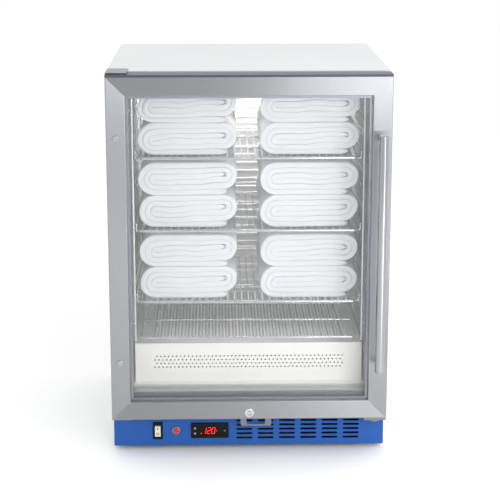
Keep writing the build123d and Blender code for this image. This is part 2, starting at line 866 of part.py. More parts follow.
with BuildPart() as door_top_cap:
    block((-half_width, half_width), (door_front, door_rear), (member_top, door_top))
    fillet(door_top_cap.edges().filter_by(Axis.X).group_by(Axis.Z)[-1].sort_by(Axis.Y)[0], 2.0)
    with Locations((hinge_x, hinge_y, door_top)):
        Cylinder(pin_bore, 20.0, mode=Mode.SUBTRACT)
finish(door_top_cap.part, "door_top_cap")

glass_front = door_front + glass_setback
glass_rear = glass_front + 2 * glass_thickness + glass_gap
glass_x = half_width - rail_width - fit
glass_z = (door_bottom + rail_width + fit, member_top - rail_width - fit)
with BuildPart() as glass_panes:
    for pane_y in (glass_front, glass_rear - glass_thickness):
        block((-glass_x, glass_x), (pane_y, pane_y + glass_thickness), glass_z)
finish(glass_panes.part, "glass_panes")

with BuildPart() as glass_spacer:
    with BuildSketch(facing(glass_rear - glass_thickness)):
        area((-glass_x, glass_x), glass_z)
        area(
            (spacer_width - glass_x, glass_x - spacer_width),
            (glass_z[0] + spacer_width, glass_z[1] - spacer_width),
            Mode.SUBTRACT,
        )
    extrude(amount=glass_gap)
finish(glass_spacer.part, "glass_spacer")

# The carrier closes the members at the back. Its collar holds the glass and frames the view in.
carrier_x = half_width - carrier_side
carrier_z = (door_bottom + carrier_bottom, member_top - carrier_side)
with BuildPart() as door_inner_frame:
    with BuildSketch(facing(door_rear)):
        area((fit - half_width, half_width - fit), (door_bottom + fit, member_top - fit))
        area((-carrier_x, carrier_x), carrier_z, Mode.SUBTRACT)
    extrude(amount=carrier_sheet)
    with BuildSketch(facing(member_rear)):
        collar = carrier_sheet
        area((-carrier_x - collar, carrier_x + collar), (carrier_z[0] - collar, carrier_z[1] + collar))
        area((-carrier_x, carrier_x), carrier_z, Mode.SUBTRACT)
    extrude(amount=member_rear - glass_rear)
finish(door_inner_frame.part, "door_inner_frame")

gasket_x = liner_half + gasket_side
gasket_z = (floor - gasket_below, ceiling + gasket_side)
with BuildPart() as door_gasket:
    with BuildSketch(facing(body_front - gasket_compressed)):
        area(
            (-gasket_x - gasket_width, gasket_x + gasket_width),
            (gasket_z[0] - gasket_width, gasket_z[1] + gasket_width),
        )
        area((-gasket_x, gasket_x), gasket_z, Mode.SUBTRACT)
    extrude(amount=door_gap - gasket_compressed)
    fillet(door_gasket.faces().sort_by(Axis.Y)[-1].edges(), 2.5)
finish(door_gasket.part, "door_gasket")

with BuildPart() as handle_bar:
    with Locations((bar_x, bar_y, bar_z[0])):
        Cylinder(bar_diameter / 2, bar_z[1] - bar_z[0], align=standing)
    chamfer(handle_bar.edges().filter_by(GeomType.CIRCLE), 0.8)
finish(handle_bar.part, "handle_bar")

with BuildPart() as handle_posts:
    for level in post_z:
        with BuildSketch(facing(door_front)):
            with Locations((bar_x, level)):
                Circle(post_diameter / 2)
        extrude(amount=handle_reach - bar_diameter / 2)
    with Locations((bar_x, bar_y, bar_z[0])):
        Cylinder(bar_diameter / 2, bar_z[1] - bar_z[0], align=standing, mode=Mode.SUBTRACT)
finish(handle_posts.part, "handle_posts")

# Covers over the handle's screw holes on the hinge side, for a door hung the other way
with BuildPart() as door_plugs:
    for level in post_z:
        with BuildSketch(facing(door_front)):
            with Locations((plug_inset - half_width, level)):
                Circle(plug_diameter / 2)
        extrude(amount=plug_rise)
    fillet(door_plugs.edges().group_by(Axis.Y)[0], plug_rise * 0.8)
finish(door_plugs.part, "door_plugs")

with BuildPart() as lock_housing:
    with Locations(Plane(origin=(0, door_front + lock_depth, lock_z), z_dir=(0, -1, 0))):
        Cylinder(lock_body_diameter / 2, lock_depth, align=standing)
    with Locations(Plane(origin=(0, door_front, lock_z), z_dir=(0, -1, 0))):
        Cylinder(lock_collar_diameter / 2, lock_collar_rise, align=standing)
    chamfer(lock_housing.edges().group_by(Axis.Y)[0], 1.6)
    with Locations((0, door_front, lock_z)):
        plug_bore = lock_plug_diameter / 2 + running_fit
        Cylinder(plug_bore, 3 * lock_depth, rotation=(90, 0, 0), mode=Mode.SUBTRACT)
finish(lock_housing.part, "lock_housing")

keyway_outer = 4.8
keyway_inner = 3.2
keyway_depth = 6.0
with BuildPart() as lock_plug:
    with Locations(Plane(origin=(0, cam_y, lock_z), z_dir=(0, -1, 0))):
        Cylinder(
            lock_plug_diameter / 2,
            cam_y - door_front + lock_collar_rise - 0.5,
            align=standing,
        )
    with Locations(Plane(origin=(0, door_front - lock_collar_rise + 0.5, lock_z), z_dir=(0, 1, 0))):
        Cylinder(
            keyway_outer, keyway_depth, align=standing, mode=Mode.SUBTRACT
        )
        Cylinder(keyway_inner, keyway_depth, align=standing)
    with BuildSketch(facing(cam_y + cam_thickness)):
        with Locations((cam_length / 2 - cam_width / 4, lock_z)):
            SlotOverall(cam_length + cam_width / 2, cam_width)
    extrude(amount=cam_thickness)
finish(lock_plug.part, "lock_plug")

# ---------------------------------------------------------------- hinges and catch

plate_x = (-half_width, plate_length - half_width)
leg_x = (-half_width, -gasket_x - gasket_width - 2.0)
plate_front = hinge_y - 13.0
lower_top = door_bottom - moving_fit
with BuildPart() as hinge_plates:
    block(plate_x, (plate_front, body_front + 30.0), (casing_top, casing_top + top_plate_thickness))
    with Locations((hinge_x, hinge_y, height)):
        Cylinder(
            hinge_cap_diameter / 2, hinge_cap_rise, align=(Align.CENTER, Align.CENTER, Align.MAX)
        )
        Cylinder(
            hinge_pin_diameter / 2,
            height - casing_top + hinge_pin_length,
            align=(Align.CENTER, Align.CENTER, Align.MAX),
        )
    block(plate_x, (plate_front, kick_front), (lower_top - bottom_plate_thickness, lower_top))
    leg_y = (kick_front - plate_leg_thickness, kick_front)
    block(leg_x, leg_y, (lower_top - 1.0, lower_top + plate_leg_height))
    with Locations((hinge_x, hinge_y, lower_top - 1.0)):
        Cylinder(
            hinge_pin_diameter / 2,
            hinge_pin_length + 1.0,
            align=standing,
        )
finish(hinge_plates.part, "hinge_plates")

# The lower plate's twin on the other side, for a door hung the other way, with a rounded lip
spare_thickness = 9.0
spare_length = 48.0
lip_radius = 16.0
lip_drop = 4.0
with BuildPart() as spare_hinge_bracket:
    spare_x = (half_width - spare_length, half_width)
    block(spare_x, (plate_front, kick_front), (lower_top - spare_thickness, lower_top))
    with BuildSketch(Plane.XY.offset(lower_top - spare_thickness)):
        with Locations((half_width - spare_length * 0.55, plate_front + lip_radius)):
            Circle(lip_radius)
    extrude(amount=-lip_drop)
    fillet(spare_hinge_bracket.edges().group_by(Axis.Z)[0], 2.0)
finish(spare_hinge_bracket.part, "spare_hinge_bracket")

catch_front = cam_y - catch_sheet - 1.0
catch_window = (48.0, 38.0)
with BuildPart() as lock_catch:
    block(
        span(catch_x, catch_width), (catch_front, kick_front), (lower_top - catch_sheet, lower_top)
    )
    with BuildSketch(facing(catch_front + catch_sheet)):
        with Locations((catch_x, lower_top - catch_drop / 2)):
            Rectangle(catch_width, catch_drop)
        with BuildLine():
            window_top = lower_top - catch_sheet
            window_low = lower_top - catch_drop + catch_bar
            Polyline(
                (catch_x - catch_window[0] / 2, window_top),
                (catch_x + catch_window[0] / 2, window_top),
                (catch_x + catch_window[1] / 2, window_low),
                (catch_x - catch_window[1] / 2, window_low),
                close=True,
            )
        make_face(mode=Mode.SUBTRACT)
    extrude(amount=catch_sheet)
    fillet(lock_catch.edges().filter_by(Axis.Y).group_by(Axis.Z)[0], 5.0)
    catch_way = span(cam_y + cam_thickness / 2, cam_thickness + 1.4)
    block(cam_sweep, catch_way, span(lower_top, 6.0), Mode.SUBTRACT)
finish(lock_catch.part, "lock_catch")
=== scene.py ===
import math

import bpy
import numpy as np
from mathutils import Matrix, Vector


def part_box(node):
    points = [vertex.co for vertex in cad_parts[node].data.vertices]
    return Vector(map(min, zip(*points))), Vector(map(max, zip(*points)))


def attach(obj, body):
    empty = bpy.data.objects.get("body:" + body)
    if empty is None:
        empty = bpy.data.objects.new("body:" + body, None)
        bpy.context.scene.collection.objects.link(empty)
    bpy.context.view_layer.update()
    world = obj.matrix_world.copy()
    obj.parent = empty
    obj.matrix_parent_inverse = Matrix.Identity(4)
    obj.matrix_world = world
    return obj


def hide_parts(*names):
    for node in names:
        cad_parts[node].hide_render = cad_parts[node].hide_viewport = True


bl_info = {
    "name": "Hot Towel Cabinet",
    "version": (1, 0, 0),
    "blender": (4, 5, 0),
    "location": "View3D > Sidebar > Towel Cabinet",
    "description": "Dresses a hot towel cabinet: folded towels, finishes, display and studio",
    "category": "Add Mesh",
}

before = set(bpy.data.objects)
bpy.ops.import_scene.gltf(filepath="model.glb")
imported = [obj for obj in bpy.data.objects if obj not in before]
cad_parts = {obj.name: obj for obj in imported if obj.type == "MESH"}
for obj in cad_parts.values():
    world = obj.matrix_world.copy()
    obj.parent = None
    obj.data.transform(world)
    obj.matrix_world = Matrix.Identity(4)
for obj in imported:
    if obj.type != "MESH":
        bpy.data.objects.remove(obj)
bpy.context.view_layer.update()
MM = 0.001

# The camera, in metres and radians. It stands in front, above the cabinet, and looks down.
CAMERA_PLACE = (-0.069, -3.3155, 1.2425)
CAMERA_DIP = 0.232
CAMERA_TURN = -0.023
CAMERA_LENS = 106.46
CAMERA_SHIFT = -0.045
CAMERA_FAR = 200.0
FLOOR_REACH = 60.0


# ------------------------------------------------------------------ settings


class CabinetSizes(bpy.types.PropertyGroup):
    """Sizes of the pieces that the frame doesn't hold."""

    towel_layers: bpy.props.IntProperty(
        name="Towel Layers", description="Runs of cloth through a folded towel", default=6, min=2, max=8
    )
    towel_setback: bpy.props.FloatProperty(
        name="Flap Setback",
        description="How far a towel's loose flap ends before the fold",
        default=22 * MM,
        unit="LENGTH",
    )
    towel_wobble: bpy.props.FloatProperty(
        name="Towel Unevenness", description="How far the cloth waves", default=1.4 * MM, unit="LENGTH"
    )
    digit_height: bpy.props.FloatProperty(
        name="Digit Height", description="Height of the display's digits", default=14 * MM, unit="LENGTH"
    )
    digit_slant: bpy.props.FloatProperty(
        name="Digit Slant", description="How far the digits lean", default=math.radians(9), subtype="ANGLE"
    )


class CabinetColours(bpy.types.PropertyGroup):
    """Colours as sRGB hex values."""

    steel: bpy.props.StringProperty(name="Stainless Steel", description="Door and handle", default="#A0A2A5")
    liner: bpy.props.StringProperty(
        name="Liner Steel", description="Inside of the cabinet", default="#ECEBE7"
    )
    blue: bpy.props.StringProperty(name="Panel Blue", description="Kick panel's enamel", default="#2358A4")
    white: bpy.props.StringProperty(name="Casing White", description="Casing's enamel", default="#D3D5D6")
    cotton: bpy.props.StringProperty(name="Towel Cotton", description="Bleached cotton", default="#DBDCE0")
    glow: bpy.props.StringProperty(name="Display Glow", description="Lit segments", default="#FF1408")


# ------------------------------------------------------------------ helpers


def linear(hex_value):
    """The linear RGBA of an sRGB hex colour."""
    parts = np.array([int(hex_value[i : i + 2], 16) for i in (1, 3, 5)]) / 255
    low, high = parts / 12.92, ((parts + 0.055) / 1.055) ** 2.4
    return (*np.where(parts <= 0.04045, low, high).tolist(), 1.0)


def add_node(tree, kind, inputs=None, **settings):
    """Adds a node, sets its properties, and sets or links its inputs."""
    node = tree.nodes.new(kind)
    for name, value in settings.items():
        setattr(node, name, value)
    for name, value in (inputs or {}).items():
        if isinstance(value, bpy.types.NodeSocket):
            tree.links.new(value, node.inputs[name])
        else:
            node.inputs[name].default_value = value
    return node


def new_material(name, colour, metallic=0.0, roughness=0.5, **sockets):
    """A material with one Principled surface, whose constants sit on its own sockets."""
    material = bpy.data.materials.new(name)
    material.use_nodes = True
    tree = material.node_tree
    surface = tree.nodes["Principled BSDF"]
    surface.inputs["Base Color"].default_value = linear(colour)
    surface.inputs["Metallic"].default_value = metallic
    surface.inputs["Roughness"].default_value = roughness
    for socket, value in sockets.items():
        surface.inputs[socket.replace("_", " ")].default_value = value
    return material, tree, surface


def scaled_coords(tree, scale):
    """Object coordinates in metres, times a scale along each axis."""
    coords = add_node(tree, "ShaderNodeTexCoord")
    return add_node(
        tree, "ShaderNodeMapping", {"Vector": coords.outputs["Object"], "Scale": scale}
    ).outputs["Vector"]


def noise(tree, vector, scale, detail=3.0, roughness=0.5):
    """The grey output of a noise texture."""
    return add_node(
        tree,
        "ShaderNodeTexNoise",
        {"Vector": vector, "Scale": scale, "Detail": detail, "Roughness": roughness},
    ).outputs["Fac"]


def mapped(tree, value, low, high):
    """A grey value spread from 0.3-0.7 to a new range."""
    return add_node(
        tree,
        "ShaderNodeMapRange",
        {"Value": value, "From Min": 0.3, "From Max": 0.7, "To Min": low, "To Max": high},
    ).outputs["Result"]


def tinted(tree, value, colour_low, colour_high):
    """A colour that goes from one to the other with a grey value."""
    return add_node(
        tree, "ShaderNodeMix", {"Factor": value, "A": colour_low, "B": colour_high}, data_type="RGBA"
    ).outputs[2]


def bumped(tree, surface, height, distance, strength=1.0):
    """Roughens a surface by a height in metres."""
    bump = add_node(
        tree, "ShaderNodeBump", {"Height": height, "Distance": distance, "Strength": strength}
    )
    tree.links.new(bump.outputs["Normal"], surface.inputs["Normal"])


def shade(hex_value, factor):
    """A hex colour made darker or lighter, in linear light."""
    return (*[channel * factor for channel in linear(hex_value)[:3]], 1.0)


# ------------------------------------------------------------------ materials


def brushed_steel(name, colour, grain, roughness=0.32, contrast=0.1, stretch=0.0, metallic=1.0):
    """Stainless steel sheet brushed along one axis: fine streaks that stretch its highlights."""
    material, tree, surface = new_material(name, colour, metallic, roughness, Anisotropic=stretch)
    if stretch:
        # The highlights stretch along the tangent, which lies across the brushing.
        turn = add_node(
            tree, "ShaderNodeTangent", direction_type="RADIAL", axis="Z" if grain == "Z" else "X"
        )
        tree.links.new(turn.outputs["Tangent"], surface.inputs["Tangent"])
    # Streaks 1.2 mm apart and 150 mm long; the real ones are finer than the render shows.
    scale = [1 / 0.0012] * 3
    scale["XYZ".index(grain)] = 1 / 0.15
    streak = noise(tree, scaled_coords(tree, scale), 1.0, 4.0, 0.6)
    cloud = noise(tree, scaled_coords(tree, (1, 1, 1)), 6.0, 2.0)
    tree.links.new(
        tinted(tree, streak, shade(colour, 1 - contrast), shade(colour, 1 + contrast * 0.6)),
        surface.inputs["Base Color"],
    )
    mixed = add_node(tree, "ShaderNodeMath", {0: streak, 1: cloud}, operation="ADD")
    halved = add_node(tree, "ShaderNodeMath", {0: mixed.outputs[0], 1: 0.5}, operation="MULTIPLY")
    tree.links.new(
        mapped(tree, halved.outputs[0], roughness - 0.03, roughness + 0.03), surface.inputs["Roughness"]
    )
    bumped(tree, surface, streak, 0.00001, 0.25)
    return material


def perforated_steel(name, colour, deck):
    """Stainless sheet with small round holes between plain margins on its level top; the holes are dots of
    painted shade.
    """
    # Real stainless is fully metallic. Less of it keeps the deck from going dark under the shelves.
    material = brushed_steel(name, colour, "X", 0.45, 0.05, 0.0, 0.4)
    tree, surface = material.node_tree, material.node_tree.nodes["Principled BSDF"]
    low, high = deck
    margin, pitch, radius, skin = 36 * MM, 7.65 * MM, 2.2 * MM, 0.3 * MM
    coords = add_node(tree, "ShaderNodeTexCoord").outputs["Object"]
    axes = add_node(tree, "ShaderNodeSeparateXYZ", {0: coords})
    inside, offsets = [], []
    spans = (("X", low[0] + margin, high[0] - margin), ("Y", low[1] + margin, high[1] - margin))
    for axis, start, end in spans:
        place = axes.outputs[axis]
        after = add_node(tree, "ShaderNodeMath", {0: place, 1: start}, operation="GREATER_THAN")
        before = add_node(tree, "ShaderNodeMath", {0: place, 1: end}, operation="LESS_THAN")
        inside += [after.outputs[0], before.outputs[0]]
        wave = add_node(tree, "ShaderNodeMath", {0: place, 1: pitch}, operation="DIVIDE")
        cell = add_node(tree, "ShaderNodeMath", {0: wave.outputs[0]}, operation="FRACT")
        centred = add_node(tree, "ShaderNodeMath", {0: cell.outputs[0], 1: 0.5}, operation="SUBTRACT")
        squared = add_node(tree, "ShaderNodeMath", {0: centred.outputs[0], 1: 2.0}, operation="POWER")
        offsets.append(squared.outputs[0])
    above = add_node(
        tree, "ShaderNodeMath", {0: axes.outputs["Z"], 1: high[2] - skin}, operation="GREATER_THAN"
    )
    distance = add_node(tree, "ShaderNodeMath", {0: offsets[0], 1: offsets[1]}, operation="ADD")
    painted_hole_shade = add_node(
        tree, "ShaderNodeMath", {0: distance.outputs[0], 1: (radius / pitch) ** 2}, operation="LESS_THAN"
    ).outputs[0]
    for part in (*inside, above.outputs[0]):
        painted_hole_shade = add_node(tree, "ShaderNodeMath", {0: painted_hole_shade, 1: part}, operation="MULTIPLY").outputs[0]
    steel = surface.inputs["Base Color"].links[0].from_socket
    # Painted shade: the holes are not cut, and the shadowed space under each one is a dark dot mixed into the
    # sheet's colour.
    mix = add_node(
        tree, "ShaderNodeMix", {"Factor": painted_hole_shade, "A": steel, "B": linear("#3A3834")}, data_type="RGBA"
    )
    tree.links.new(mix.outputs[2], surface.inputs["Base Color"])
    return material


def chromed_wire(name):
    """Bright chromium plate on drawn wire: a mirror with a faint draw texture."""
    material, tree, surface = new_material(name, "#CBCDD1", 1.0, 0.14)
    ripple = noise(tree, scaled_coords(tree, (1, 1, 1)), 220.0, 2.0)
    tree.links.new(mapped(tree, ripple, 0.08, 0.2), surface.inputs["Roughness"])
    bumped(tree, surface, ripple, 0.00004, 0.4)
    return material


def enamel(name, colour, roughness=0.36, peel=0.00003):
    """Powder coat: an even colour with a fine orange peel, 1.5 mm from crest to crest."""
    material, tree, surface = new_material(name, colour, 0.0, roughness, Specular_IOR_Level=0.25)
    skin = noise(tree, scaled_coords(tree, (1, 1, 1)), 1 / 0.0015, 2.0)
    cloud = noise(tree, scaled_coords(tree, (1, 1, 1)), 5.0, 3.0)
    tree.links.new(
        tinted(tree, cloud, shade(colour, 0.96), shade(colour, 1.03)), surface.inputs["Base Color"]
    )
    tree.links.new(mapped(tree, cloud, roughness - 0.04, roughness + 0.06), surface.inputs["Roughness"])
    bumped(tree, surface, skin, peel, 0.6)
    return material


def moulded(name, colour, roughness=0.5, grain=0.0008):
    """Injection moulded plastic with a fine spark-eroded grain."""
    material, tree, surface = new_material(name, colour, 0.0, roughness, Specular_IOR_Level=0.2)
    pits = noise(tree, scaled_coords(tree, (1, 1, 1)), 1 / grain, 2.0)
    tree.links.new(tinted(tree, pits, shade(colour, 0.92), shade(colour, 1.08)), surface.inputs["Base Color"])
    tree.links.new(mapped(tree, pits, roughness - 0.06, roughness + 0.06), surface.inputs["Roughness"])
    bumped(tree, surface, pits, 0.00003, 0.5)
    return material


def glowing(name, colour, strength, roughness=0.3):
    """A lit diffuser or segment."""
    material, tree, surface = new_material(name, colour, 0.0, roughness, Emission_Strength=strength)
    surface.inputs["Emission Color"].default_value = linear(colour)
    cloud = noise(tree, scaled_coords(tree, (1, 1, 1)), 300.0, 1.0)
    tree.links.new(mapped(tree, cloud, roughness - 0.03, roughness + 0.03), surface.inputs["Roughness"])
    return material


def clear_glass(name):
    """Low-iron float glass: nearly nothing but its reflections and a faint green."""
    material, tree, surface = new_material(name, "#F2F5F6", 0.0, 0.03, Alpha=0.04, Specular_IOR_Level=0.2)
    smear = noise(tree, scaled_coords(tree, (1, 1, 1)), 9.0, 3.0)
    tree.links.new(mapped(tree, smear, 0.02, 0.06), surface.inputs["Roughness"])
    return material


def terry(name, colour):
    """Bleached cotton terry: short loops that scatter light softly, with a deep nap."""
    material, tree, surface = new_material(name, colour, 0.0, 0.92, Sheen_Weight=0.2, Sheen_Roughness=0.6)
    surface.inputs["Subsurface Weight"].default_value = 0.12
    surface.inputs["Subsurface Radius"].default_value = (0.004, 0.004, 0.004)
    # Loops are about 1.5 mm apart; drawn 2.2 mm so that they show.
    loops = noise(tree, scaled_coords(tree, (1, 1, 1)), 1 / 0.0022, 2.0, 0.6)
    nap = noise(tree, scaled_coords(tree, (1, 1, 1)), 60.0, 3.0)
    tree.links.new(tinted(tree, nap, shade(colour, 0.95), shade(colour, 1.03)), surface.inputs["Base Color"])
    both = add_node(tree, "ShaderNodeMath", {0: loops, 1: nap}, operation="ADD")
    bumped(tree, surface, both.outputs[0], 0.0008, 0.5)
    return material


def glass_wool(name):
    """Yellow glass wool slab: matted fibres."""
    material, tree, surface = new_material(name, "#D9C77A", 0.0, 0.95)
    fibres = noise(tree, scaled_coords(tree, (1, 1, 3)), 180.0, 5.0, 0.7)
    tree.links.new(tinted(tree, fibres, linear("#B39B4A"), linear("#EADFA6")), surface.inputs["Base Color"])
    bumped(tree, surface, fibres, 0.002, 0.7)
    return material


def extruded_rubber(name):
    """Black door seal rubber with a slight bloom."""
    material, tree, surface = new_material(name, "#2B2C2F", 0.0, 0.7)
    bloom = noise(tree, scaled_coords(tree, (1, 1, 1)), 40.0, 4.0)
    tree.links.new(tinted(tree, bloom, linear("#232427"), linear("#3A3B3F")), surface.inputs["Base Color"])
    bumped(tree, surface, bloom, 0.0002, 0.4)
    return material


def zinc_plate():
    """Zinc plated sheet, made once."""
    name = "zinc_plated_steel"
    return bpy.data.materials.get(name) or brushed_steel(name, "#A9ACAE", "X", 0.45, 0.05)


def black_nylon():
    """Black moulded nylon, made once."""
    name = "black_moulded_nylon"
    return bpy.data.materials.get(name) or moulded(name, "#070708", 0.38)


def dress(material, *nodes):
    """Gives nodes of the frame a material in place of their own."""
    for name in nodes:
        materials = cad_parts[name].data.materials
        materials.clear()
        materials.append(material)


# ------------------------------------------------------------------ meshes


def mesh_piece(name, points, faces, material, body, smooth=True):
    """Makes a mesh object at the origin and lets it ride on a body."""
    mesh = bpy.data.meshes.new(name)
    mesh.from_pydata(np.asarray(points).tolist(), [], [list(map(int, face)) for face in faces])
    mesh.polygons.foreach_set("use_smooth", np.full(len(mesh.polygons), smooth))
    mesh.update()
    piece = bpy.data.objects.new(name, mesh)
    bpy.context.scene.collection.objects.link(piece)
    piece.data.materials.append(material)
    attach(piece, body)
    return piece


def tube_faces(rows, columns):
    """Quads of a grid of rows by columns that closes on itself across its columns, and two end caps."""
    row, column = np.meshgrid(np.arange(rows - 1), np.arange(columns), indexing="ij")
    here = row * columns + column
    right = row * columns + (column + 1) % columns
    quads = np.stack([here, right, right + columns, here + columns], -1).reshape(-1, 4).tolist()
    first = list(range(columns))[::-1]
    last = list(range((rows - 1) * columns, rows * columns))
    return quads + [first, last]


def prism(outline, y_front, y_back):
    """Points and faces of a flat outline in X and Z, carried from its front to its back in Y."""
    outline = np.asarray(outline)
    turn = np.roll(outline, -1, 0)
    order = 1 if np.sum(turn[:, 0] * outline[:, 1] - outline[:, 0] * turn[:, 1]) > 0 else -1
    rows = [
        np.c_[outline[:, 0], np.broadcast_to(y, len(outline)), outline[:, 1]][::order]
        for y in (y_front, y_back)
    ]
    return np.concatenate(rows), tube_faces(2, len(outline))


def face_depth(node, outline):
    """The Y of a node's front face behind each point of an outline in X and Z."""
    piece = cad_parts[node]
    return np.array([piece.ray_cast((x, -1.0, z), (0, 1, 0))[1].y for x, z in outline])


def flattened_spiral(half_width, half_height, pitch, runs, setback, samples=22):
    """The middle line of a folded towel, in X and Z, from its loose flap inwards.

    Level runs one pitch apart alternate between the bottom and the top. A half circle joins
    each run to the next, and the half circles of each side share one centre.
    """
    lift = pitch / 2
    radii = half_height - lift - pitch * np.arange(runs) / 2
    left = -half_width + half_height
    right = half_width - half_height + lift
    flap = right + radii[1] + lift - setback
    tail = pitch * 0.42
    line = [np.c_[np.linspace(flap, left, samples), np.full(samples, -radii[0])]]
    for run in range(1, runs):
        on_left = run % 2 == 1
        angle = np.linspace(0, math.pi, samples)[1:]
        centre = (left, 0.0) if on_left else (right, lift)
        if on_left:
            radius = half_height - lift - pitch * (run // 2)
        else:
            radius = half_height - 2 * lift - pitch * (run // 2 - 1)
        side, turn = (-1, -1) if on_left else (1, 1)
        line.append(
            np.c_[centre[0] + side * radius * np.sin(angle), centre[1] + turn * radius * np.cos(angle)]
        )
        if run < runs - 1:
            target = right if on_left else left
        else:
            target = right + tail if on_left else left - tail
        level = line[-1][-1, 1]
        line.append(np.c_[np.linspace(centre[0], target, samples)[1:], np.full(samples - 1, level)])
    return np.concatenate(line)


def folded_towel(low, high, runs, setback, wobble, seed):
    """A towel folded flat: its thick cloth carried along a flattened spiral.

    At each point of the spiral the section is a superellipse-cornered strip that reaches from the
    front to the back. Slow sine waves move the whole cloth a little, and the flap's ends are rounded.
    """
    rng = np.random.default_rng(seed)
    size, middle = high - low, (low + high) / 2
    pitch = size[2] / runs
    line = flattened_spiral(size[0] / 2, size[2] / 2, pitch, runs, setback)
    step = np.gradient(line, axis=0)
    step /= np.linalg.norm(step, axis=1)[:, None]
    normal = np.c_[-step[:, 1], step[:, 0]]
    along = np.linspace(0, 1, 9)
    corner = np.linspace(0, math.pi / 2, 5)
    depth, thick, lip = size[1] / 2, pitch * 0.497, pitch * 0.22
    curve_y, curve_n = np.sin(corner) ** 0.75, np.cos(corner) ** 0.75
    face = (along[1:-1] * 2 - 1) * (depth - lip)
    rounded, level = -(depth - lip) - lip * curve_y, np.ones(len(face))
    section_y = np.r_[rounded, rounded[::-1][1:], face, -rounded, -rounded[::-1][1:], face[::-1]]
    section_n = thick * np.r_[curve_n, -curve_n[::-1][1:], -level, -curve_n, curve_n[::-1][1:], level]
    count = len(line)
    fraction = np.linspace(0, 1, count)
    ends = np.clip(np.minimum(np.arange(count), np.arange(count)[::-1]) / 3.0, 0, 1)
    swell = np.sqrt(1 - (1 - ends) ** 2) * 0.9 + 0.1
    offset = swell[:, None] * section_n[None, :]
    x = line[:, 0, None] + normal[:, 0, None] * offset
    z = line[:, 1, None] + normal[:, 1, None] * offset
    y = np.broadcast_to(section_y[None, :], x.shape).copy()
    inner = np.clip(1 - np.abs(z) / (size[2] / 2), 0, 1)
    # The waves' heights are shares of the wobble, and their rates are radians a metre.
    phase = rng.uniform(0, 2 * math.pi, 6)
    z += inner * (0.05 * x * rng.uniform(0.2, 1.2) + wobble * 1.2 * np.sin(x * 42 + phase[0]))
    z += wobble * inner * np.sin(x * 75 + y * 14 + phase[1])
    x += wobble * 0.5 * np.sin(z * 90 + y * 23 + phase[2])
    y += wobble * 0.9 * np.sin(fraction[:, None] * 24 + phase[3]) * (np.abs(y) > depth * 0.8)
    y += wobble * 0.8 * np.sin(x * 31 + phase[4])
    points = np.stack([x + middle[0], y + middle[1], z + middle[2]], -1).reshape(-1, 3)
    points = np.clip(points, low, high)
    return points, tube_faces(count, len(section_y)), line


# ------------------------------------------------------------------ operators


class CabinetOperator(bpy.types.Operator):
    """What the cabinet's operators share."""

    bl_options = {"REGISTER", "UNDO"}

    @property
    def sizes(self):
        return bpy.context.scene.cabinet_sizes

    @property
    def colours(self):
        return bpy.context.scene.cabinet_colours


